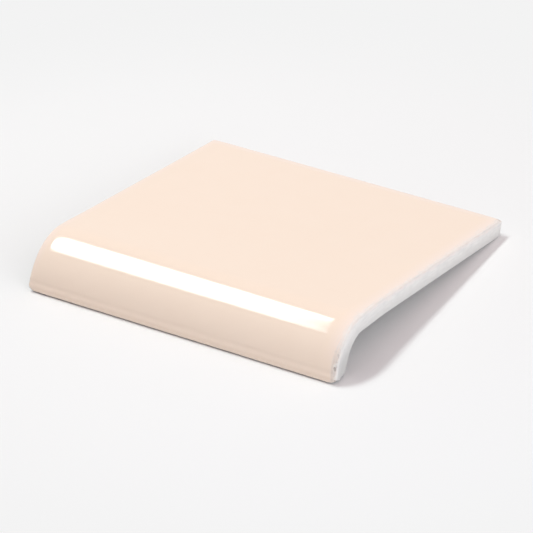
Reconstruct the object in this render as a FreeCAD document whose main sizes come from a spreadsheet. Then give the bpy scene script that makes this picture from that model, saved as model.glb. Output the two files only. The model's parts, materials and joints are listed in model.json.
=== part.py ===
import FreeCAD, Part
import math
import os

import Sketcher

# A bullnose tile: a square glazed wall tile, fired in one piece, whose front edge rolls over into a lip.
# Millimetres. In the tile's own section y runs from the lip's outer wall (0) to the back edge, and z is 0
# on the glazed face and negative below it. x runs along the lip, with 0 at mid-width.

SIZES = {
    # The tile's outline: along the lip, and from the lip's outer wall to the back edge.
    "tile_width": 152.0,
    "tile_depth": 152.0,
    # The flat body between the glazed face and the bedding side.
    "body_thickness": 8.0,
    # The roll, and the short straight skirt that the lip's outer wall has below it.
    "roll_radius": 23.0,
    "skirt_straight": 0.3,
    # The lip: its wall, its two lower corners and the straight part of its inner wall.
    "lip_thickness": 10.0,
    "toe_radius": 1.0,
    "foot_radius": 2.5,
    "lip_inside_straight": 0.5,
    # The softened arrises: face to back edge, bedding side to back edge, and round both ends.
    "face_arris_radius": 0.8,
    "heel_radius": 0.8,
    "end_arris_radius": 0.4,
    # The shallow keys that are pressed into the bedding side, inside a plain border.
    "key_count": 6,
    "key_width": 12.0,
    "key_depth": 0.8,
    "key_border": 12.0,
}

# What follows from the sizes. The lip ends where its skirt and toe end, and the cove inside the roll takes
# what is left between the bedding side and the lip's straight inner wall. Laid down loose, the tile stands
# on its foot and its heel, so one level floor touches both of these arcs, and that gives the tilt.
DERIVED = {
    "lip_drop": "Sizes.roll_radius + Sizes.skirt_straight + Sizes.toe_radius",
    "cove_radius": "lip_drop - Sizes.body_thickness - Sizes.foot_radius - Sizes.lip_inside_straight",
    "key_start": "Sizes.lip_thickness + cove_radius + Sizes.key_border",
    "key_length": "Sizes.tile_depth - Sizes.key_border - key_start",
    "key_span": "Sizes.tile_width - 2 * Sizes.key_border - Sizes.key_width",
    "rest_run": "Sizes.tile_depth - Sizes.heel_radius - Sizes.lip_thickness + Sizes.foot_radius",
    "rest_rise": "lip_drop - Sizes.foot_radius - Sizes.body_thickness + Sizes.heel_radius",
    "rest_tilt": "atan2(rest_rise; rest_run)"
                 " + asin((Sizes.foot_radius - Sizes.heel_radius) / hypot(rest_rise; rest_run))",
    "rest_lift": "(Sizes.lip_thickness - Sizes.foot_radius) * sin(rest_tilt)"
                 " + (lip_drop - Sizes.foot_radius) * cos(rest_tilt) + Sizes.foot_radius",
    "front_reach": "(lip_drop - Sizes.toe_radius) * sin(rest_tilt)"
                   " - Sizes.toe_radius * cos(rest_tilt) + Sizes.toe_radius",
    "back_reach": "(Sizes.tile_depth - Sizes.face_arris_radius) * cos(rest_tilt)"
                  " - Sizes.face_arris_radius * sin(rest_tilt) + Sizes.face_arris_radius",
}

# How a sketch numbers the points of a curve, its own origin point and its two axes.
START, END, CENTRE = range(1, 4)
ORIGIN_POINT = (-1, START)
HORIZONTAL_AXIS, VERTICAL_AXIS = range(-1, -3, -1)
QUARTER_TURN = math.pi / 2
TOLERANCE = 1e-6
KEY_VOLUME_TOLERANCE = 0.001


def add_sizes(doc):
    """The sheet of driving sizes, one named cell each."""
    sheet = doc.addObject("Spreadsheet::Sheet", "Sizes")
    for row, (name, value) in enumerate(SIZES.items(), start=1):
        sheet.set(f"A{row}", name)
        sheet.set(f"B{row}", str(value))
        sheet.setAlias(f"B{row}", name)
    doc.recompute()
    return sheet


def add_derived(doc):
    """The values that follow from the sheet, as formulas."""
    derived = doc.addObject("App::VarSet", "Derived")
    for name, formula in DERIVED.items():
        kind = "App::PropertyAngle" if name == "rest_tilt" else "App::PropertyFloat"
        derived.addProperty(kind, name)
        derived.setExpression(name, formula)
    doc.recompute()
    return derived


def origin_feature(body, role):
    """One of the body's own origin planes or axes."""
    return next(feature for feature in body.Origin.OriginFeatures if feature.Role == role)


def add_sketch(body, name, role):
    """An empty sketch on one of the body's origin planes."""
    sketch = body.newObject("Sketcher::SketchObject", name)
    sketch.AttachmentSupport = [(origin_feature(body, role), "")]
    sketch.MapMode = "FlatFace"
    return sketch


def add_line(sketch, start, end):
    """A straight run of an outline, by its two points."""
    line = Part.LineSegment(FreeCAD.Vector(*start), FreeCAD.Vector(*end))
    return sketch.addGeometry(line, False)


def add_arc(sketch, centre, radius, first_quarter, quarters=1):
    """A round stretch of an outline, anticlockwise, in quarter turns."""
    circle = Part.Circle(FreeCAD.Vector(*centre), FreeCAD.Vector(0, 0, 1), radius)
    first_angle = first_quarter * QUARTER_TURN
    arc = Part.ArcOfCircle(circle, first_angle, first_angle + quarters * QUARTER_TURN)
    return sketch.addGeometry(arc, False)


def bind(sketch, name, formula, kind, *where):
    """A dimension of the sketch that follows the sheet."""
    value = sketch.evalExpression(formula)
    index = sketch.addConstraint(Sketcher.Constraint(kind, *where, float(value)))
    sketch.renameConstraint(index, name)
    sketch.setExpression(f"Constraints.{name}", formula)


def join_smoothly(sketch, joints):
    """Ends that meet and run on in the same direction."""
    for first, first_end, second, second_end in joints:
        sketch.addConstraint(Sketcher.Constraint("Tangent", first, first_end, second, second_end))


def add_section(body, sheet, derived):
    """The tile's section: face, back edge, bedding side, cove, lip and roll, all tangent."""
    depth, thickness = sheet.tile_depth, sheet.body_thickness
    roll, toe, foot = sheet.roll_radius, sheet.toe_radius, sheet.foot_radius
    arris, heel, lip = sheet.face_arris_radius, sheet.heel_radius, sheet.lip_thickness
    drop, cove = derived.lip_drop, derived.cove_radius

    sketch = add_sketch(body, "Section", "YZ_Plane")
    face = add_line(sketch, (roll, 0), (depth - arris, 0))
    face_arris = add_arc(sketch, (depth - arris, -arris), arris, 0)
    back_edge = add_line(sketch, (depth, -arris), (depth, heel - thickness))
    heel_arris = add_arc(sketch, (depth - heel, heel - thickness), heel, 3)
    bedding = add_line(sketch, (depth - heel, -thickness), (lip + cove, -thickness))
    cove_arc = add_arc(sketch, (lip + cove, -thickness - cove), cove, 1)
    lip_inside = add_line(sketch, (lip, -thickness - cove), (lip, foot - drop))
    foot_arc = add_arc(sketch, (lip - foot, foot - drop), foot, 3)
    lip_end = add_line(sketch, (lip - foot, -drop), (toe, -drop))
    toe_arc = add_arc(sketch, (toe, toe - drop), toe, 2)
    skirt = add_line(sketch, (0, toe - drop), (0, -roll))
    roll_arc = add_arc(sketch, (roll, -roll), roll, 1)

    join_smoothly(sketch, [
        (face, END, face_arris, END),
        (face_arris, START, back_edge, START),
        (back_edge, END, heel_arris, END),
        (heel_arris, START, bedding, START),
        (bedding, END, cove_arc, START),
        (cove_arc, END, lip_inside, START),
        (lip_inside, END, foot_arc, END),
        (foot_arc, START, lip_end, START),
        (lip_end, END, toe_arc, END),
        (toe_arc, START, skirt, START),
        (skirt, END, roll_arc, END),
        (roll_arc, START, face, START),
    ])
    for level in (face, bedding, lip_end):
        sketch.addConstraint(Sketcher.Constraint("Horizontal", level))
    for upright in (back_edge, lip_inside, skirt):
        sketch.addConstraint(Sketcher.Constraint("Vertical", upright))
    sketch.addConstraint(Sketcher.Constraint("PointOnObject", face, START, HORIZONTAL_AXIS))
    sketch.addConstraint(Sketcher.Constraint("PointOnObject", skirt, START, VERTICAL_AXIS))

    bind(sketch, "Roll", "Sizes.roll_radius", "Radius", roll_arc)
    bind(sketch, "Toe", "Sizes.toe_radius", "Radius", toe_arc)
    bind(sketch, "Foot", "Sizes.foot_radius", "Radius", foot_arc)
    bind(sketch, "Heel", "Sizes.heel_radius", "Radius", heel_arris)
    bind(sketch, "FaceArris", "Sizes.face_arris_radius", "Radius", face_arris)
    bind(sketch, "SkirtStraight", "Sizes.skirt_straight", "Distance", skirt)
    bind(sketch, "LipInsideStraight", "Sizes.lip_inside_straight", "Distance", lip_inside)
    bind(sketch, "Depth", "Sizes.tile_depth", "DistanceX", *ORIGIN_POINT, back_edge, START)
    bind(sketch, "Thickness", "Sizes.body_thickness", "DistanceY", bedding, END, *ORIGIN_POINT)
    bind(sketch, "LipThickness", "Sizes.lip_thickness", "DistanceX", *ORIGIN_POINT, lip_inside, START)
    return sketch


def add_blank(body, section):
    """The section run along the tile's width, half to each side of the middle."""
    blank = body.newObject("PartDesign::Pad", "Blank")
    blank.Profile = section
    blank.SideType = "Symmetric"
    blank.setExpression("Length", "Sizes.tile_width")
    body.Document.recompute()
    return blank


def add_end_arrises(body, blank):
    """The softened arris that runs round the section at both ends."""
    end_edges = [
        f"Edge{number}"
        for number, edge in enumerate(blank.Shape.Edges, start=1)
        if edge.BoundBox.XLength < TOLERANCE
    ]
    arrises = body.newObject("PartDesign::Fillet", "EndArrises")
    arrises.Base = (blank, end_edges)
    arrises.setExpression("Radius", "Sizes.end_arris_radius")
    body.Document.recompute()
    return arrises


def add_key_outline(body, sheet, derived):
    """One round-ended key, the outermost, drawn at the level of the bedding side."""
    half_width = sheet.key_width / 2
    middle = -derived.key_span / 2
    left, right = middle - half_width, middle + half_width
    near = derived.key_start + half_width
    far = derived.key_start + derived.key_length - half_width

    sketch = add_sketch(body, "KeyOutline", "XY_Plane")
    sketch.setExpression("AttachmentOffset.Base.z", "-Sizes.body_thickness")
    left_side = add_line(sketch, (left, near), (left, far))
    right_side = add_line(sketch, (right, far), (right, near))
    far_end = add_arc(sketch, (middle, far), half_width, 0, quarters=2)
    near_end = add_arc(sketch, (middle, near), half_width, 2, quarters=2)

    join_smoothly(sketch, [
        (left_side, END, far_end, END),
        (right_side, START, far_end, START),
        (right_side, END, near_end, END),
        (left_side, START, near_end, START),
    ])
    sketch.addConstraint(Sketcher.Constraint("Vertical", left_side))
    sketch.addConstraint(Sketcher.Constraint("Equal", far_end, near_end))
    bind(sketch, "HalfWidth", "Sizes.key_width / 2", "Radius", far_end)
    bind(sketch, "FromMiddle", "Derived.key_span / 2", "DistanceX", far_end, CENTRE, *ORIGIN_POINT)
    bind(sketch, "NearEnd", "Derived.key_start + Sizes.key_width / 2", "DistanceY",
         *ORIGIN_POINT, near_end, CENTRE)
    bind(sketch, "Centres", "Derived.key_length - Sizes.key_width", "DistanceY",
         near_end, CENTRE, far_end, CENTRE)
    return sketch


def add_keys(body, outline):
    """The keys, pressed upwards into the bedding side and repeated across the width."""
    first_key = body.newObject("PartDesign::Pocket", "FirstKey")
    first_key.Profile = outline
    first_key.Reversed = True
    first_key.setExpression("Length", "Sizes.key_depth")
    body.Document.recompute()

    keys = body.newObject("PartDesign::LinearPattern", "Keys")
    keys.Originals = [first_key]
    keys.Direction = (origin_feature(body, "X_Axis"), [""])
    keys.setExpression("Length", "Derived.key_span")
    keys.setExpression("Occurrences", "Sizes.key_count")
    body.Tip = keys
    body.Document.recompute()
    return keys


def add_tile(doc, sheet, derived):
    """The whole tile, laid down as it rests, with the middle of its box over the origin."""
    tile = doc.addObject("PartDesign::Body", "bullnose_tile")
    tile.Label = "bullnose_tile"
    section = add_section(tile, sheet, derived)
    blank = add_blank(tile, section)
    softened = add_end_arrises(tile, blank)
    outline = add_key_outline(tile, sheet, derived)
    keyed = add_keys(tile, outline)
    tile.setExpression(
        "Placement",
        "placement(vector(0; (Derived.front_reach - Derived.back_reach) / 2; Derived.rest_lift);"
        " rotation(vector(1; 0; 0); -Derived.rest_tilt))",
    )
    doc.recompute()

    key_area = Part.Face(outline.Shape.Wires[0]).Area
    key_volume = sheet.key_count * key_area * sheet.key_depth
    pressed_out = softened.Shape.Volume - keyed.Shape.Volume
    if abs(pressed_out - key_volume) > KEY_VOLUME_TOLERANCE * key_volume:
        raise RuntimeError(f"the keys take out {pressed_out:.1f} mm3 and not {key_volume:.1f}")
    return tile


def check(doc, solids):
    """Stops before anything is written if a feature or a shape is bad."""
    for item in doc.Objects:
        if "Invalid" in item.State or "Error" in item.State:
            raise RuntimeError(f"{item.Label} failed: {item.State}")
    for solid in solids:
        if solid.Shape.isNull() or not solid.Shape.isValid():
            raise RuntimeError(f"{solid.Label} has no valid shape")


def main():
    doc = FreeCAD.newDocument("BullnoseTile")
    sheet = add_sizes(doc)
    derived = add_derived(doc)
    solids = [add_tile(doc, sheet, derived)]
    check(doc, solids)
    os.makedirs("parts", exist_ok=True)
    for solid in solids:
        solid.Shape.exportStep(f"parts/{solid.Label}.step")
        print(solid.Label, f"{solid.Shape.Volume:.1f} mm3", solid.Shape.optimalBoundingBox())


main()
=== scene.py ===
import json
from math import atan2, hypot, pi, radians

import bmesh
import bpy
from mathutils import Matrix, Vector

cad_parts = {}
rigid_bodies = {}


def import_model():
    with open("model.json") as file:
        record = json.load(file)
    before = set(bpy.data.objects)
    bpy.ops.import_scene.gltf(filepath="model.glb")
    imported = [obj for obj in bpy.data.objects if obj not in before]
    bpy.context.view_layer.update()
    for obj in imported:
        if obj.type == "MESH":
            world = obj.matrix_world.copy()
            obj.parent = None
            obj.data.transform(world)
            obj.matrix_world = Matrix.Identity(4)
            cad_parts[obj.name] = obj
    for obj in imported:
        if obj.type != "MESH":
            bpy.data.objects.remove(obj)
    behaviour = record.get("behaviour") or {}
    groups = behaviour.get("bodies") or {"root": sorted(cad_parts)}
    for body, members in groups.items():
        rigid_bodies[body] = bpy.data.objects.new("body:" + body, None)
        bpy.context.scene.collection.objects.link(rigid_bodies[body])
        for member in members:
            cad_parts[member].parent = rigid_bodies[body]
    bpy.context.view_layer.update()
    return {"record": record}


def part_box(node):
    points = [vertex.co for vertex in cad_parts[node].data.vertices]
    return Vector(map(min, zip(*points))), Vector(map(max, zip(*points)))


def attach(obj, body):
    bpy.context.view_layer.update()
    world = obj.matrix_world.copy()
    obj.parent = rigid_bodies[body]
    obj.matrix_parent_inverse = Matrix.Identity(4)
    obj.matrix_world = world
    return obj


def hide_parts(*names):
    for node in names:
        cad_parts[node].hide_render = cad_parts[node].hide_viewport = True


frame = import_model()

MM = 0.001

# The tile in its own frame: x along the lip, y back from the lip's outer wall, z up from the face
LOW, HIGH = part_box("bullnose_tile")
MOUNTS = {mount["name"]: mount for mount in frame["record"]["mounts"]}
WIDTH = HIGH.x - LOW.x
HALF = WIDTH / 2
DEPTH = WIDTH
THICK = 8 * MM
ROLL = 23 * MM
DROP = 24.3 * MM
TOE = 0.6 * MM
TOE_DIP = 0.2 * MM
SKIRT = DROP + TOE_DIP - ROLL - TOE
LIP = 10 * MM
FOOT = 2.5 * MM
LIP_INSIDE = 0.5 * MM
ARRIS = 0.8 * MM
COVE = DROP - THICK - FOOT - LIP_INSIDE
ROLL_STEPS = 56
CORNER_STEPS = 6
ARRIS_STEPS = 4
FACE_ROWS = 32
COLUMNS = 152
END_ROWS = 7
LIPWISE = 0
BACKWARDS = 1
LONG_SHARE = 0.9
ON_LINE = 0.01 * MM
SAME_PLACE = 0.001 * MM
SMOOTH_BELOW = 40

# The keys pressed in the bedding side
KEY_COUNT = 6
KEY_WIDTH = 12 * MM
KEY_DEPTH = 0.8 * MM
KEY_BORDER = 12 * MM
KEY_FLOOR_SHARE = 0.94
KEY_SIDES = 48

# What glaze, kiln and handling do to the pressed shape
FACE_CUSHION = 0.2 * MM
FACE_CUSHION_REACH = 9 * MM
ROLL_CUSHION_SLOPE = 0.055
ROLL_CUSHION_LEFT = 3.7 * MM
ROLL_CUSHION_RIGHT = 8 * MM
CUSHION_DROP = 15 * MM
END_BAND = 0.2 * MM
LIP_GROOVE = 4.3 * MM
LIP_BEAD = 2.7 * MM
LIP_WAVE = 0.17 * MM
LIP_WAVE_REACH = 1.6 * MM
LIP_WAVE_ROW = 0.35 * MM
LIP_WALL = 2 * MM
END_ARRIS = 0.8 * MM
END_ARRIS_STEPS = 4
ARRIS_FADE = 4 * MM
LEAST_ARRIS_SHARE = 0.4
BED_ARRIS_SHARE = 0.3
FLARE_LEFT = 1.0 * MM
FLARE_RIGHT = 1.6 * MM
FLARE_REACH = 36 * MM
FLARE_FROM = 2 * MM
FOOT_WEAR = (-0.3 * MM, -0.3 * MM, 1.3 * MM)
FOOT_WEAR_REACH = 5 * MM
TOE_WEAR = (-0.3 * MM, 0.2 * MM, 0.9 * MM)
TOE_WEAR_REACH = 3 * MM
CHIP = (-0.1 * MM, -0.1 * MM, -0.25 * MM)
CHIP_REACH = 1.5 * MM
# How far round the chipped corner the worn glaze shows stains, and pits painted dark with shade
CHIP_STAIN_AND_SHADE_REACH = 3 * MM
RIPPLE_SIZE = 16 * MM
RIPPLE_HEIGHT = 0.03 * MM
GLAZE_WRAP = 4 * MM
GLAZE_BAND = 12 * MM
GLAZE_OVER_LEFT = 3 * MM
GLAZE_OVER_BACK = 2 * MM
GLAZE_TOE = 4 * MM
TOE_STEEPNESS = 1.7
BARE_STEEPNESS = 40
LIP_TOP = 9 * MM
LIP_BOTTOM = 17 * MM


def linear(colour):
    """An sRGB hex colour as linear RGBA."""
    channels = [int(colour[place:place + 2], 16) / 255 for place in (1, 3, 5)]
    bent = [c / 12.92 if c <= 0.04045 else ((c + 0.055) / 1.055) ** 2.4 for c in channels]
    return (*bent, 1)


def add_node(tree, kind, inputs=None, **settings):
    """Adds one node with its settings; an input is a value or another node's output."""
    node = tree.nodes.new(kind)
    for name, value in settings.items():
        setattr(node, name, value)
    for name, value in (inputs or {}).items():
        if isinstance(value, bpy.types.NodeSocket):
            tree.links.new(value, node.inputs[name])
        else:
            node.inputs[name].default_value = value
    return node


def pick(piece, kind, *tests):
    """Selects only the vertices, edges or faces whose every corner passes one of the tests."""
    bpy.ops.mesh.select_all(action="DESELECT")
    mesh = bmesh.from_edit_mesh(piece.data)
    for item in getattr(mesh, kind):
        corners = [item] if kind == "verts" else item.verts
        if any(all(test(corner.co) for corner in corners) for test in tests):
            item.select_set(True)
    mesh.select_flush_mode()
    bmesh.update_edit_mesh(piece.data)


def near(value, target):
    """Whether a place is on a line or plane of the tile."""
    return abs(value - target) < ON_LINE


def run(back, up):
    """Carries the section on in a straight run."""
    bpy.ops.mesh.extrude_edges_move(TRANSFORM_OT_translate={"value": (0, back, up)})


def turn(centre, angle, steps):
    """Carries the section on round an arc."""
    bpy.ops.mesh.spin(steps=steps, angle=radians(angle), center=(0, *centre), axis=(1, 0, 0))


def split(piece, along, shortest, cuts):
    """Divides the edges that run lipwise or backwards and are longer than the shortest named."""
    bpy.ops.mesh.select_all(action="DESELECT")
    mesh = bmesh.from_edit_mesh(piece.data)
    for edge in mesh.edges:
        span = edge.verts[0].co - edge.verts[1].co
        if abs(span[along]) > shortest:
            edge.select_set(True)
    bmesh.update_edit_mesh(piece.data)
    bpy.ops.mesh.subdivide(number_cuts=cuts)


def depth_below_skin(place):
    """How far a place in the section lies under the outer skin of face, roll and skirt."""
    if place.y >= ROLL:
        return -place.z
    if place.z <= -ROLL:
        return place.y
    return ROLL - hypot(place.y - ROLL, place.z + ROLL)


def on_skin(place):
    """Whether a place of the outline is on the glazed side."""
    return depth_below_skin(place) < THICK / 2


def press_tile():
    """The tile as pressed: its section carried round edge by edge to where it began."""
    bpy.ops.object.select_all(action="DESELECT")
    face_end = DEPTH - ARRIS
    bpy.ops.mesh.primitive_plane_add(size=1, location=(0, (ROLL + face_end) / 2, 0))
    tile = bpy.context.object
    tile.name = "glazed_tile"
    tile.data.name = "glazed_tile"
    tile.scale = (WIDTH, face_end - ROLL, 1)
    bpy.ops.object.transform_apply(location=True, rotation=True, scale=True)
    bpy.ops.object.mode_set(mode="EDIT")
    bpy.ops.mesh.select_mode(type="EDGE")
    pick(tile, "edges", lambda place: near(place.y, ROLL))
    turn((ROLL, -ROLL), -90, ROLL_STEPS)
    run(0, -SKIRT)
    turn((TOE, TOE - TOE_DIP - DROP), -90, CORNER_STEPS)
    run(LIP - TOE - FOOT, TOE_DIP)
    turn((LIP - FOOT, FOOT - DROP), -90, CORNER_STEPS)
    run(0, LIP_INSIDE)
    turn((LIP + COVE, -THICK - COVE), 90, ROLL_STEPS)
    for _ in range(FACE_ROWS):
        run((face_end - LIP - COVE) / FACE_ROWS, 0)
    turn((face_end, ARRIS - THICK), -90, ARRIS_STEPS)
    run(0, THICK - 2 * ARRIS)
    turn((face_end, -ARRIS), -90, ARRIS_STEPS)
    bpy.ops.mesh.select_all(action="SELECT")
    bpy.ops.mesh.remove_doubles(threshold=SAME_PLACE)
    split(tile, BACKWARDS, (face_end - ROLL) * LONG_SHARE, FACE_ROWS - 1)
    split(tile, LIPWISE, WIDTH * LONG_SHARE, COLUMNS // 2 - 1)
    split(tile, LIPWISE, WIDTH / COLUMNS, 1)
    bpy.ops.mesh.select_all(action="SELECT")
    bpy.ops.mesh.normals_make_consistent(inside=False)
    return tile


def sink_end(tile, side, rear, fall, reach, falloff):
    """Sinks the skin at one end, from the lip back to the rear line, and less away from the end."""
    pick(tile, "verts", lambda place: (
        near(place.x, side * HALF) and place.y < rear and place.z > -CUSHION_DROP and on_skin(place)))
    bpy.ops.transform.shrink_fatten(
        value=-fall, use_proportional_edit=True, use_proportional_connected=True,
        proportional_edit_falloff=falloff, proportional_size=reach)
    pick(tile, "verts", lambda place: abs(place.x - side * HALF) < END_BAND)
    bpy.ops.transform.resize(value=(0, 1, 1), center_override=(side * HALF, 0, 0))


def cushion_ends(tile):
    """The skin falls away a little towards both ends, softly on the face, in a flat bend on the roll."""
    bpy.ops.mesh.select_mode(type="VERT")
    for side, roll_reach in ((-1, ROLL_CUSHION_LEFT), (1, ROLL_CUSHION_RIGHT)):
        sink_end(tile, side, DEPTH + MM, FACE_CUSHION, FACE_CUSHION_REACH, "SHARP")
        sink_end(tile, side, ROLL + MM, ROLL_CUSHION_SLOPE * roll_reach, roll_reach, "LINEAR")


def bead_lip(tile):
    """The glaze gathers in a low bead along the lower edge of the lip, with a faint hollow above it."""
    bpy.ops.mesh.select_mode(type="VERT")
    for height, push in ((LIP_GROOVE, LIP_WAVE), (LIP_BEAD, -LIP_WAVE)):
        level = height - TOE_DIP - DROP
        pick(tile, "verts", lambda place: place.y < LIP_WALL and abs(place.z - level) < LIP_WAVE_ROW)
        bpy.ops.transform.translate(
            value=(0, push, 0), use_proportional_edit=True,
            proportional_edit_falloff="SMOOTH", proportional_size=LIP_WAVE_REACH)


def arris_share(place):
    """How soft an end arris is: most along face and roll, least along the bed."""
    if not on_skin(place):
        return BED_ARRIS_SHARE
    share = min(DEPTH - place.y, DROP + place.z, ARRIS_FADE) / ARRIS_FADE
    return LEAST_ARRIS_SHARE + (1 - LEAST_ARRIS_SHARE) * max(share, 0)


def close_ends(tile):
    """Both ends are closed, their arrises softened, and each end then woven between skin and bed."""
    bpy.ops.mesh.select_mode(type="EDGE")
    for end in (-HALF, HALF):
        pick(tile, "edges", lambda place: near(place.x, end))
        bpy.ops.mesh.edge_face_add()
    bpy.ops.mesh.select_all(action="SELECT")
    bpy.ops.mesh.normals_make_consistent(inside=False)
    mesh = bmesh.from_edit_mesh(tile.data)
    shares = mesh.edges.layers.float.new("bevel_weight_edge")
    for edge in mesh.edges:
        first, second = (corner.co for corner in edge.verts)
        if near(abs(first.x), HALF) and near(abs(second.x), HALF):
            edge[shares] = (arris_share(first) + arris_share(second)) / 2
    bmesh.update_edit_mesh(tile.data)
    bpy.ops.object.mode_set(mode="OBJECT")
    soften = tile.modifiers.new("arris", "BEVEL")
    soften.limit_method = "WEIGHT"
    soften.width = END_ARRIS
    soften.segments = END_ARRIS_STEPS
    soften.use_clamp_overlap = False
    bpy.ops.object.modifier_apply(modifier=soften.name)
    bpy.ops.object.mode_set(mode="EDIT")
    bpy.ops.mesh.select_mode(type="FACE")
    pick(tile, "faces", lambda place: near(abs(place.x), HALF))
    bpy.ops.mesh.delete(type="ONLY_FACE")
    bpy.ops.mesh.select_mode(type="EDGE")
    for end in (-HALF, HALF):
        pick(tile, "edges",
             lambda place: near(place.x, end) and on_skin(place),
             lambda place: near(place.x, end) and not on_skin(place))
        bpy.ops.mesh.bridge_edge_loops(number_cuts=END_ROWS - 1, interpolation="LINEAR")
    bpy.ops.mesh.select_all(action="SELECT")
    bpy.ops.mesh.normals_make_consistent(inside=False)
    bpy.ops.object.mode_set(mode="OBJECT")


def press_keys(tile):
    """Round-ended keys in the bed: one bar, copied along the tile and cut away together."""
    bpy.ops.object.select_all(action="DESELECT")
    half_key = KEY_WIDTH / 2
    first = LIP + COVE + KEY_BORDER + half_key
    straight = DEPTH - KEY_BORDER - half_key - first
    span = WIDTH - 2 * KEY_BORDER - KEY_WIDTH
    bpy.ops.mesh.primitive_cylinder_add(
        vertices=KEY_SIDES, radius=half_key, depth=2 * KEY_DEPTH,
        location=(-span / 2, first, -THICK), rotation=(0, 0, pi / KEY_SIDES))
    keys = bpy.context.object
    keys.name = "key_bar"
    bpy.ops.object.transform_apply(location=True, rotation=True, scale=True)
    bpy.ops.object.mode_set(mode="EDIT")
    bpy.ops.mesh.select_mode(type="VERT")
    pick(keys, "verts", lambda place: place.y > first)
    bpy.ops.transform.translate(value=(0, straight, 0))
    pick(keys, "verts", lambda place: place.z > -THICK)
    bpy.ops.transform.resize(
        value=(KEY_FLOOR_SHARE, 1, 1), center_override=(-span / 2, first, -THICK))
    bpy.ops.object.mode_set(mode="OBJECT")
    for _ in range(KEY_COUNT - 1):
        bpy.ops.object.duplicate_move(
            TRANSFORM_OT_translate={"value": (span / (KEY_COUNT - 1), 0, 0)})
    for piece in bpy.data.objects:
        piece.select_set(piece.name.startswith("key_bar"))
    bpy.ops.object.join()
    bars = bpy.context.object
    bpy.ops.object.transform_apply(location=True, rotation=True, scale=True)
    bpy.ops.object.select_all(action="DESELECT")
    tile.select_set(True)
    bpy.context.view_layer.objects.active = tile
    cut = tile.modifiers.new("keys", "BOOLEAN")
    cut.operation = "DIFFERENCE"
    cut.solver = "EXACT"
    cut.object = bars
    bpy.ops.object.modifier_apply(modifier=cut.name)
    bpy.data.objects.remove(bars)


def length_round_section(place):
    """How far along the section a place lies, from the back edge over face and roll to the toe."""
    if place.y >= ROLL:
        return DEPTH - place.y
    angle = atan2(ROLL - place.y, place.z + ROLL)
    return DEPTH - ROLL + ROLL * angle


def mark_glaze(tile):
    """Stores where each place lies by the glaze line.

    The first number is how far inside the line, in millimetres, with bare clay below zero; the second how
    far along the line; the third how worn, from 0 to 1: low on the lip, and by the chipped back corner.
    The third also places painted shade: greyer clay low on the lip, and dark pits by the line where it is
    worn.
    """
    edge = tile.data.attributes.new("edge_place", "FLOAT_VECTOR", "POINT")
    for vertex, mark in zip(tile.data.vertices, edge.data):
        place = vertex.co
        depth = depth_below_skin(place)
        ends = (HALF - place.x, HALF + place.x + GLAZE_OVER_LEFT, DEPTH - place.y + GLAZE_OVER_BACK)
        inside = min(*ends, GLAZE_BAND) - depth
        toe = TOE_STEEPNESS * (GLAZE_TOE - depth + place.z + ROLL + SKIRT)
        inner = min(HALF - abs(place.x), MM) / MM
        bare = BARE_STEEPNESS * max(0, depth - GLAZE_WRAP) * inner
        along = place.x + length_round_section(place)
        low = (-place.z - LIP_TOP) / (LIP_BOTTOM - LIP_TOP) if place.y < ROLL else 0
        chipped = 1 - (place - Vector((HALF, DEPTH, 0))).length / CHIP_STAIN_AND_SHADE_REACH
        wear_and_shade = min(max(low, chipped, 0), 1)
        mark.vector = ((min(inside, toe) - bare) / MM, along / MM, wear_and_shade)


def flare_lip(tile):
    """The lip's ends have moved outwards in the kiln, most at their lower corners."""
    bpy.ops.object.mode_set(mode="EDIT")
    bpy.ops.mesh.select_mode(type="VERT")
    for side, flare in ((-1, FLARE_LEFT), (1, FLARE_RIGHT)):
        pick(tile, "verts", lambda place: place.x * side > HALF - FLARE_FROM and place.z < FOOT - DROP)
        bpy.ops.transform.translate(
            value=(side * flare, 0, 0), use_proportional_edit=True,
            proportional_edit_falloff="LINEAR", proportional_size=FLARE_REACH)
    bpy.ops.object.mode_set(mode="OBJECT")


def rub(tile, falloff, reach, move, test):
    """Rubs one corner away: moves the places that pass the test, and less the places around them."""
    pick(tile, "verts", test)
    bpy.ops.transform.translate(
        value=move, use_proportional_edit=True, proportional_edit_falloff=falloff, proportional_size=reach)


def wear_lip(tile):
    """The corners of foot and toe are rubbed away at both ends of the lip."""
    bpy.ops.object.mode_set(mode="EDIT")
    bpy.ops.mesh.select_mode(type="VERT")
    for side, flare in ((-1, FLARE_LEFT), (1, FLARE_RIGHT)):
        inward, rear, up = FOOT_WEAR
        rub(tile, "SMOOTH", FOOT_WEAR_REACH, (side * inward, rear, up), lambda place: (
            place.x * side > HALF - END_ARRIS and LIP - FOOT < place.y < LIP + MM and place.z < FOOT - DROP))
        inward, rear, up = TOE_WEAR
        rub(tile, "SHARP", TOE_WEAR_REACH, (side * inward, rear, up), lambda place: (
            place.x * side > HALF + flare - END_ARRIS / 2 and place.y < LIP_WALL and place.z < MM - DROP))
    bpy.ops.object.mode_set(mode="OBJECT")


def chip_corner(tile):
    """The back right corner of the face has lost a crumb."""
    bpy.ops.object.mode_set(mode="EDIT")
    bpy.ops.mesh.select_mode(type="VERT")
    rub(tile, "SHARP", CHIP_REACH, CHIP, lambda place: (
        place.x > HALF - ARRIS and place.y > DEPTH - ARRIS and place.z > -ARRIS))
    bpy.ops.object.mode_set(mode="OBJECT")


def ripple_skin(tile):
    """The faint unevenness of a dipped glaze."""
    waves = bpy.data.textures.new("glaze_ripple", "CLOUDS")
    waves.noise_scale = RIPPLE_SIZE
    ripple = tile.modifiers.new("ripple", "DISPLACE")
    ripple.texture = waves
    ripple.strength = RIPPLE_HEIGHT
    ripple.texture_coords = "LOCAL"
    bpy.ops.object.modifier_apply(modifier=ripple.name)


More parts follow.
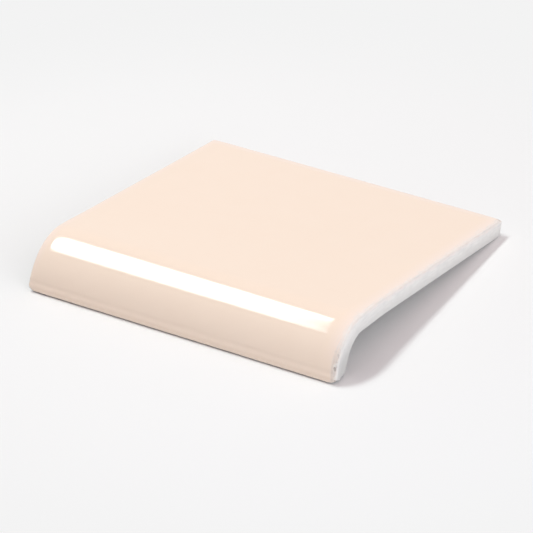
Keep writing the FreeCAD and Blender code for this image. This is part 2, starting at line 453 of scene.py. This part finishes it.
def lay_down(tile):
    """Turns the tile to how it lies, on the foot of its lip and its back edge."""
    bed = MOUNTS["bed_face"]["axis"]
    back_edge = Vector(MOUNTS["back_edge"]["pos_m"])
    tilt = Matrix.Rotation(-atan2(-bed[1], -bed[2]), 4, "X")
    tile.matrix_world = Matrix.Translation(back_edge - tilt @ Vector((0, DEPTH, -THICK / 2))) @ tilt
    bpy.ops.object.transform_apply(location=True, rotation=True, scale=True)
    bpy.ops.object.shade_smooth_by_angle(angle=radians(SMOOTH_BELOW))


# Glazed white earthenware, dipped on its face and fired: a glossy peach skin that thins out over the
# arrises in pale streaks and small pits, whose dark colour is painted shade, and leaves chalky off-white clay
# bare on the ends, painted greyer with shade towards the bed and the foot of the lip. Sizes are in
# millimetres, as the stored edge places are.
GLAZE = "#F8E3D1"
GLAZE_DEEP = "#F7E1CE"
GLAZE_PALE = "#F8E5DA"
GLAZE_PALE_BAND = 7.0
GLAZE_CLOUD_SIZE = 14.0
GLAZE_CLOUD_DETAIL = 2
CLAY = "#F3F1EE"
CLAY_DARK = "#DEDCDA"
# The grey that painted shade gives the clay low down
CLAY_SHADE = "#CBCAC8"
BEAD = "#F4EFEB"
# The dark of the painted shade in the pits
PIT_SHADE = "#A59690"
STAIN = "#DBC9BE"
PER_METRE = 1000
NOISE_LOW = 0.25
NOISE_HIGH = 0.75
GLAZE_ROUGHNESS = 0.06
CLAY_ROUGHNESS = 0.85
GLAZE_IOR = 1.52
RAG_SIZE = 1.8
RAG_REACH = 0.7
RAG_DETAIL = 3
RAG_CRISPNESS = 0.6
STREAK_WIDTH = 0.55
STREAK_LENGTH = 8.0
STREAK_REACH = 1.6
STREAK_DETAIL = 2
STREAK_CRISPNESS = 0.55
THIN_FROM = 3.2
THIN_TO = -2.6
WORN_THINNER = 0.9
GLOSS_FROM = 0.2
GLOSS_TO = 0.55
BEAD_PLACE = -1.5
BEAD_WIDTH = 0.9
BEAD_SHARE = 0.3
STAIN_SIZE = 3.5
STAIN_DETAIL = 2
STAIN_LEAST = 0.42
STAIN_FULL = 0.6
STAIN_SHARE = 0.75
PIT_SIZE = 1.7
PIT_DETAIL = 1
PIT_LEAST = 0.56
PIT_FULL = 0.67
PIT_PLACE = 0.7
PIT_BAND = 1.8
PIT_BAND_FULL = 0.9
PIT_SHARE = 0.7
# Painted shade on the clay: greyer deeper past the glaze line towards the bed, and low on the lip
BED_SHADE_FROM = 2.0
BED_SHADE_TO = 8.0
BED_SHADE_SHARE = 0.5
LIP_SHADE_FROM = 1.2
LIP_SHADE_TO = 3.0
LIP_SHADE_SHARE = 0.75
CLAY_MOTTLE_SIZE = 3.0
CLAY_MOTTLE_DETAIL = 5
CLAY_MOTTLE_CRISPNESS = 0.65
CLAY_TONE_LOW = 0.3
CLAY_TONE_HIGH = 0.7
CLAY_GRIT_SIZE = 0.5
CLAY_GRIT_DETAIL = 3
CLAY_GRIT_CRISPNESS = 0.7
DRAG_SHARE = 0.55
SURFACE_HEIGHT = 0.12 * MM


def glazed_earthenware():
    """Glaze and clay in one material, parted by how far inside the glaze line a place lies."""
    material = bpy.data.materials.new("glazed_white_earthenware")
    material.use_nodes = True
    tree = material.node_tree
    tree.nodes.clear()
    place = add_node(tree, "ShaderNodeTexCoord").outputs["Object"]
    edge = add_node(tree, "ShaderNodeAttribute", attribute_name="edge_place").outputs["Vector"]
    parts = add_node(tree, "ShaderNodeSeparateXYZ", {0: edge})
    reach = parts.outputs["X"]
    wear_and_shade = parts.outputs["Z"]

    # The line the glaze runs out to: ragged, and drawn out in streaks along the arris
    rag = add_node(tree, "ShaderNodeTexNoise", {
        "Vector": place, "Scale": PER_METRE / RAG_SIZE,
        "Detail": RAG_DETAIL, "Roughness": RAG_CRISPNESS}).outputs["Fac"]
    rag_shift = add_node(tree, "ShaderNodeMapRange", {
        "Value": rag, "From Min": NOISE_LOW, "From Max": NOISE_HIGH,
        "To Min": -RAG_REACH, "To Max": RAG_REACH}, clamp=False).outputs[0]
    drawn = add_node(tree, "ShaderNodeVectorMath", {
        0: edge, 1: (1 / STREAK_WIDTH, 1 / STREAK_LENGTH, 0)}, operation="MULTIPLY").outputs[0]
    streak = add_node(tree, "ShaderNodeTexNoise", {
        "Vector": drawn, "Scale": 1.0, "Detail": STREAK_DETAIL, "Roughness": STREAK_CRISPNESS}).outputs["Fac"]
    streak_shift = add_node(tree, "ShaderNodeMapRange", {
        "Value": streak, "From Min": NOISE_LOW, "From Max": NOISE_HIGH,
        "To Min": -STREAK_REACH, "To Max": STREAK_REACH}, clamp=False).outputs[0]
    shift = add_node(tree, "ShaderNodeMath", {0: rag_shift, 1: streak_shift}, operation="ADD").outputs[0]
    worn_reach = add_node(tree, "ShaderNodeMath", {
        0: wear_and_shade, 1: -WORN_THINNER, 2: reach}, operation="MULTIPLY_ADD").outputs[0]
    ragged = add_node(tree, "ShaderNodeMath", {0: worn_reach, 1: shift}, operation="ADD").outputs[0]
    glazed = add_node(tree, "ShaderNodeMapRange", {
        "Value": ragged, "From Min": THIN_TO, "From Max": THIN_FROM},
        interpolation_type="SMOOTHSTEP").outputs[0]

    # The clay: mottled, greyed low down with painted shade, with a pale bead where the glaze stopped
    mottle = add_node(tree, "ShaderNodeTexNoise", {
        "Vector": place, "Scale": PER_METRE / CLAY_MOTTLE_SIZE,
        "Detail": CLAY_MOTTLE_DETAIL, "Roughness": CLAY_MOTTLE_CRISPNESS}).outputs["Fac"]
    drag = add_node(tree, "ShaderNodeMix", {
        "Factor": DRAG_SHARE, "A": mottle, "B": streak}, data_type="FLOAT").outputs["Result"]
    tone = add_node(tree, "ShaderNodeMapRange", {
        "Value": drag, "From Min": CLAY_TONE_LOW, "From Max": CLAY_TONE_HIGH}).outputs[0]
    clean = add_node(tree, "ShaderNodeMix", {
        "Factor": tone, "A": linear(CLAY_DARK), "B": linear(CLAY)}, data_type="RGBA").outputs["Result"]
    # Painted shade: the clay is greyed towards the bed and low on the lip, where less light reaches
    bed_shade = add_node(tree, "ShaderNodeMapRange", {
        "Value": reach, "From Min": -BED_SHADE_FROM, "From Max": -BED_SHADE_TO, "To Max": BED_SHADE_SHARE},
        interpolation_type="SMOOTHSTEP").outputs[0]
    lip_shade = add_node(tree, "ShaderNodeMapRange", {
        "Value": reach, "From Min": -LIP_SHADE_FROM, "From Max": -LIP_SHADE_TO, "To Max": LIP_SHADE_SHARE},
        interpolation_type="SMOOTHSTEP").outputs[0]
    painted_shade = add_node(tree, "ShaderNodeMath", {
        0: lip_shade, 1: wear_and_shade, 2: bed_shade}, operation="MULTIPLY_ADD", use_clamp=True).outputs[0]
    shaded_clay = add_node(tree, "ShaderNodeMix", {
        "Factor": painted_shade, "A": clean, "B": linear(CLAY_SHADE)}, data_type="RGBA").outputs["Result"]
    from_bead = add_node(tree, "ShaderNodeMath", {0: ragged, 1: BEAD_PLACE}, operation="SUBTRACT").outputs[0]
    off_bead = add_node(tree, "ShaderNodeMath", {0: from_bead}, operation="ABSOLUTE").outputs[0]
    bead = add_node(tree, "ShaderNodeMapRange", {
        "Value": off_bead, "From Min": BEAD_WIDTH, "From Max": 0.0, "To Max": BEAD_SHARE},
        interpolation_type="SMOOTHSTEP").outputs[0]
    clay = add_node(tree, "ShaderNodeMix", {
        "Factor": bead, "A": shaded_clay, "B": linear(BEAD)}, data_type="RGBA").outputs["Result"]

    # The glaze, faintly clouded, and the stains and pits by its line where it is worn, the pits painted dark
    # with shade
    cloud = add_node(tree, "ShaderNodeTexNoise", {
        "Vector": place, "Scale": PER_METRE / GLAZE_CLOUD_SIZE, "Detail": GLAZE_CLOUD_DETAIL}).outputs["Fac"]
    full = add_node(tree, "ShaderNodeMix", {
        "Factor": cloud, "A": linear(GLAZE_DEEP), "B": linear(GLAZE)}, data_type="RGBA").outputs["Result"]
    unworn = add_node(tree, "ShaderNodeMath", {0: 1.0, 1: wear_and_shade}, operation="SUBTRACT").outputs[0]
    pale = add_node(tree, "ShaderNodeMapRange", {
        "Value": reach, "From Min": GLAZE_PALE_BAND, "From Max": 0.0, "To Max": unworn}).outputs[0]
    glaze = add_node(tree, "ShaderNodeMix", {
        "Factor": pale, "A": full, "B": linear(GLAZE_PALE)}, data_type="RGBA").outputs["Result"]
    clear = add_node(tree, "ShaderNodeMix", {
        "Factor": glazed, "A": clay, "B": glaze}, data_type="RGBA").outputs["Result"]
    from_line = add_node(tree, "ShaderNodeMath", {0: reach, 1: PIT_PLACE}, operation="SUBTRACT").outputs[0]
    off_line = add_node(tree, "ShaderNodeMath", {0: from_line}, operation="ABSOLUTE").outputs[0]
    pit_band = add_node(tree, "ShaderNodeMapRange", {
        "Value": off_line, "From Min": PIT_BAND, "From Max": PIT_BAND_FULL}).outputs[0]
    worn_band = add_node(tree, "ShaderNodeMath", {0: pit_band, 1: wear_and_shade}, operation="MULTIPLY").outputs[0]
    blotch = add_node(tree, "ShaderNodeTexNoise", {
        "Vector": place, "Scale": PER_METRE / STAIN_SIZE, "Detail": STAIN_DETAIL}).outputs["Fac"]
    blotches = add_node(tree, "ShaderNodeMapRange", {
        "Value": blotch, "From Min": STAIN_LEAST, "From Max": STAIN_FULL, "To Max": STAIN_SHARE}).outputs[0]
    stain = add_node(tree, "ShaderNodeMath", {0: blotches, 1: worn_band}, operation="MULTIPLY").outputs[0]
    fired = add_node(tree, "ShaderNodeMix", {
        "Factor": stain, "A": clear, "B": linear(STAIN)}, data_type="RGBA").outputs["Result"]
    # Painted shade: the pits, by the line and at the chipped corner, get a dark colour for the shade in them
    pit_noise = add_node(tree, "ShaderNodeTexNoise", {
        "Vector": place, "Scale": PER_METRE / PIT_SIZE, "Detail": PIT_DETAIL}).outputs["Fac"]
    pit_spot = add_node(tree, "ShaderNodeMapRange", {
        "Value": pit_noise, "From Min": PIT_LEAST, "From Max": PIT_FULL, "To Max": PIT_SHARE}).outputs[0]
    pit_and_shade = add_node(tree, "ShaderNodeMath", {0: pit_spot, 1: worn_band}, operation="MULTIPLY").outputs[0]
    colour = add_node(tree, "ShaderNodeMix", {
        "Factor": pit_and_shade, "A": fired, "B": linear(PIT_SHADE)}, data_type="RGBA").outputs["Result"]

    # The gloss, the clay's gritty tooth under the edge of the glaze, and the pits' depth
    roughness = add_node(tree, "ShaderNodeMapRange", {
        "Value": glazed, "From Min": GLOSS_FROM, "From Max": GLOSS_TO,
        "To Min": CLAY_ROUGHNESS, "To Max": GLAZE_ROUGHNESS}).outputs[0]
    grit = add_node(tree, "ShaderNodeTexNoise", {
        "Vector": place, "Scale": PER_METRE / CLAY_GRIT_SIZE,
        "Detail": CLAY_GRIT_DETAIL, "Roughness": CLAY_GRIT_CRISPNESS}).outputs["Fac"]
    bare = add_node(tree, "ShaderNodeMath", {0: 1.0, 1: glazed}, operation="SUBTRACT").outputs[0]
    tooth = add_node(tree, "ShaderNodeMath", {
        0: grit, 1: bare, 2: glazed}, operation="MULTIPLY_ADD").outputs[0]
    height = add_node(tree, "ShaderNodeMath", {0: tooth, 1: pit_and_shade}, operation="SUBTRACT").outputs[0]
    bump = add_node(tree, "ShaderNodeBump", {"Height": height, "Distance": SURFACE_HEIGHT, "Strength": 1.0})
    shader = add_node(tree, "ShaderNodeBsdfPrincipled", {
        "Base Color": colour, "Roughness": roughness, "IOR": GLAZE_IOR, "Normal": bump.outputs["Normal"]})
    add_node(tree, "ShaderNodeOutputMaterial", {"Surface": shader.outputs["BSDF"]})
    return material


tile = press_tile()
cushion_ends(tile)
bead_lip(tile)
close_ends(tile)
press_keys(tile)
mark_glaze(tile)
flare_lip(tile)
wear_lip(tile)
chip_corner(tile)
ripple_skin(tile)
lay_down(tile)
tile.data.materials.clear()
tile.data.materials.append(glazed_earthenware())
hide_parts("bullnose_tile")
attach(tile, "root")

# The pale room: how it looks, and how much light it gives from each side, a little cool from the left
# and a little warm from above, which tints the shadow
BACKGROUND = "#F3F3F3"
SEEN_LEVEL = 1.0
RIGHT_LEVEL = 1.4
LEFT_LEVEL = 0.36
TOP_LEVEL = 0.84
RIGHT_TINT = "#FFFFFF"
LEFT_TINT = "#C5E4FF"
TOP_TINT = "#FFEAEA"
SIDE_NARROWNESS = 2.0
ROOM_SIDES = (
    ((1, 0, 0), RIGHT_LEVEL, RIGHT_TINT),
    ((-1, 0, 0), LEFT_LEVEL, LEFT_TINT),
    ((0, 0, 1), TOP_LEVEL, TOP_TINT),
)


def seen_rays(tree):
    """One for what the eye sees straight or mirrored, nothing for light."""
    rays = add_node(tree, "ShaderNodeLightPath").outputs
    mirrored = add_node(tree, "ShaderNodeMath", {
        0: rays["Is Glossy Ray"], 1: rays["Is Transmission Ray"]}, operation="ADD").outputs[0]
    return add_node(tree, "ShaderNodeMath", {
        0: rays["Is Camera Ray"], 1: mirrored}, operation="ADD", use_clamp=True).outputs[0]


def pale_room():
    """A plain pale look, with soft light from the right, the left and above."""
    room = bpy.data.worlds.new("pale_room")
    room.use_nodes = True
    tree = room.node_tree
    tree.nodes.clear()
    look = add_node(tree, "ShaderNodeTexCoord").outputs["Generated"]
    colour = (0, 0, 0)
    for side, level, tint in ROOM_SIDES:
        towards = add_node(tree, "ShaderNodeVectorMath", {
            0: look, 1: side}, operation="DOT_PRODUCT").outputs["Value"]
        half = add_node(tree, "ShaderNodeMath", {0: towards, 1: 0.0}, operation="MAXIMUM").outputs[0]
        soft = add_node(tree, "ShaderNodeMath", {0: half, 1: SIDE_NARROWNESS}, operation="POWER").outputs[0]
        glow = [level * channel for channel in linear(tint)[:3]]
        colour = add_node(tree, "ShaderNodeVectorMath", {
            0: soft, 1: glow, 2: colour}, operation="MULTIPLY_ADD").outputs[0]
    light = add_node(tree, "ShaderNodeBackground", {"Color": colour}).outputs[0]
    pale = add_node(tree, "ShaderNodeBackground", {
        "Color": linear(BACKGROUND), "Strength": SEEN_LEVEL}).outputs[0]
    both = add_node(tree, "ShaderNodeMixShader", {0: seen_rays(tree), 1: light, 2: pale}).outputs[0]
    add_node(tree, "ShaderNodeOutputWorld", {"Surface": both})
    return room


bpy.context.scene.world = pale_room()

# The floor: a wide sheet of matt paper that keeps the shadow and runs out into the pale room
FLOOR_COLOUR = "#F0F0F0"
FLOOR_SIZE = 8
FLOOR_FADE_FROM = 0.13
FLOOR_FADE_TO = 0.27
PAPER_ROUGHNESS = 0.9
PAPER_SHEEN = 0.1


def matt_paper():
    """Matt white paper, which keeps a soft shadow and has no gloss, fading to the room's look far out."""
    paper = bpy.data.materials.new("matt_paper")
    paper.use_nodes = True
    tree = paper.node_tree
    tree.nodes.clear()
    place = add_node(tree, "ShaderNodeTexCoord").outputs["Object"]
    away = add_node(tree, "ShaderNodeVectorMath", {0: place}, operation="LENGTH").outputs["Value"]
    far = add_node(tree, "ShaderNodeMapRange", {
        "Value": away, "From Min": FLOOR_FADE_FROM, "From Max": FLOOR_FADE_TO},
        interpolation_type="SMOOTHSTEP").outputs[0]
    run_out = add_node(tree, "ShaderNodeMath", {0: far, 1: seen_rays(tree)}, operation="MULTIPLY").outputs[0]
    sheet = add_node(tree, "ShaderNodeBsdfPrincipled", {
        "Base Color": linear(FLOOR_COLOUR), "Roughness": PAPER_ROUGHNESS,
        "Specular IOR Level": PAPER_SHEEN}).outputs[0]
    pale = add_node(tree, "ShaderNodeEmission", {
        "Color": linear(BACKGROUND), "Strength": SEEN_LEVEL}).outputs[0]
    both = add_node(tree, "ShaderNodeMixShader", {0: run_out, 1: sheet, 2: pale}).outputs[0]
    add_node(tree, "ShaderNodeOutputMaterial", {"Surface": both})
    return paper


bpy.ops.object.select_all(action="DESELECT")
bpy.ops.mesh.primitive_plane_add(size=FLOOR_SIZE, location=(0, 0, 0))
floor = bpy.context.object
floor.name = "floor"
floor.data.materials.append(matt_paper())

# The lamps: a strip soft box high on the left, whose mirror image is the bright bar along the roll, and a
# small fill panel near the front right corner
KEY_LEVEL = 26.0
KEY_TINT = "#F3FFFC"
KEY_LEAN = 28.9
KEY_DISTANCE = 3.0
KEY_ACROSS = 0.588
KEY_ALONG = 2.0
KEY_SHIFT = 0.095
KEY_FULL_SHARE = 0.42
KEY_END_GLOW = 0.2
KEY_BOW = 2.0
FILL_LEVEL = 1.7
FILL_TINT = "#DBEEFF"
FILL_PLACE = Vector((0.5, -0.32, 0.2))
FILL_SIZE = 0.3


def soft_lamp(name, level, tint, across, along):
    """A flat tinted lamp, as bright as a white card under that many times the plain light."""
    bpy.ops.object.light_add(type="AREA")
    lamp = bpy.context.object
    lamp.name = name
    lamp.data.shape = "RECTANGLE"
    lamp.data.size = across
    lamp.data.size_y = along
    lamp.data.energy = level * pi * across * along
    lamp.data.color = linear(tint)[:3]
    return lamp


def fade_edges(lamp):
    """A soft box is brightest in its middle and fades towards its edges."""
    lamp.data.use_nodes = True
    tree = lamp.data.node_tree
    tree.nodes.clear()
    spot = add_node(tree, "ShaderNodeNewGeometry").outputs["Parametric"]
    off_middle = add_node(tree, "ShaderNodeVectorMath", {
        0: spot, 1: (2, 2, 0), 2: (-1, -1, 0)}, operation="MULTIPLY_ADD").outputs[0]
    away = add_node(tree, "ShaderNodeVectorMath", {0: off_middle}, operation="ABSOLUTE").outputs[0]
    parts = add_node(tree, "ShaderNodeSeparateXYZ", {0: away}).outputs
    across = add_node(tree, "ShaderNodeMapRange", {
        "Value": parts["X"], "From Min": 1.0, "From Max": KEY_FULL_SHARE},
        interpolation_type="SMOOTHSTEP").outputs[0]
    bow = add_node(tree, "ShaderNodeMath", {0: parts["Y"], 1: KEY_BOW}, operation="POWER").outputs[0]
    along = add_node(tree, "ShaderNodeMapRange", {
        "Value": bow, "From Min": 1.0, "From Max": 0.0, "To Min": KEY_END_GLOW}).outputs[0]
    glow = add_node(tree, "ShaderNodeMath", {0: across, 1: along}, operation="MULTIPLY").outputs[0]
    light = add_node(tree, "ShaderNodeEmission", {"Strength": glow}).outputs[0]
    add_node(tree, "ShaderNodeOutputLight", {"Surface": light})


soft_box = soft_lamp("soft_box", KEY_LEVEL, KEY_TINT, KEY_ACROSS, KEY_ALONG)
soft_box.matrix_world = (
    Matrix.Rotation(-radians(KEY_LEAN), 4, "Y") @ Matrix.Translation((0, KEY_SHIFT, KEY_DISTANCE)))
fade_edges(soft_box)
fill_panel = soft_lamp("fill_panel", FILL_LEVEL, FILL_TINT, FILL_SIZE, FILL_SIZE)
fill_panel.matrix_world = (
    Matrix.Translation(FILL_PLACE) @ FILL_PLACE.to_track_quat("Z", "Y").to_matrix().to_4x4())

# The camera, at the photograph's angle
CAMERA_PLACE = (0.695523, -1.178288, 0.763363)
CAMERA_TURN = 30.6038
CAMERA_PITCH = 90 - 29.2203
CAMERA_ROLL = 0.3956
CAMERA_LENS = 238.117
CAMERA_SENSOR = 36

camera_data = bpy.data.cameras.new("camera")
camera = bpy.data.objects.new("camera", camera_data)
bpy.context.collection.objects.link(camera)
camera_data.lens = CAMERA_LENS
camera_data.sensor_width = CAMERA_SENSOR
camera.matrix_world = (
    Matrix.Translation(CAMERA_PLACE) @ Matrix.Rotation(radians(CAMERA_TURN), 4, "Z")
    @ Matrix.Rotation(radians(CAMERA_PITCH), 4, "X") @ Matrix.Rotation(radians(CAMERA_ROLL), 4, "Z"))
bpy.context.scene.camera = camera
bpy.context.scene.view_settings.view_transform = "Standard"
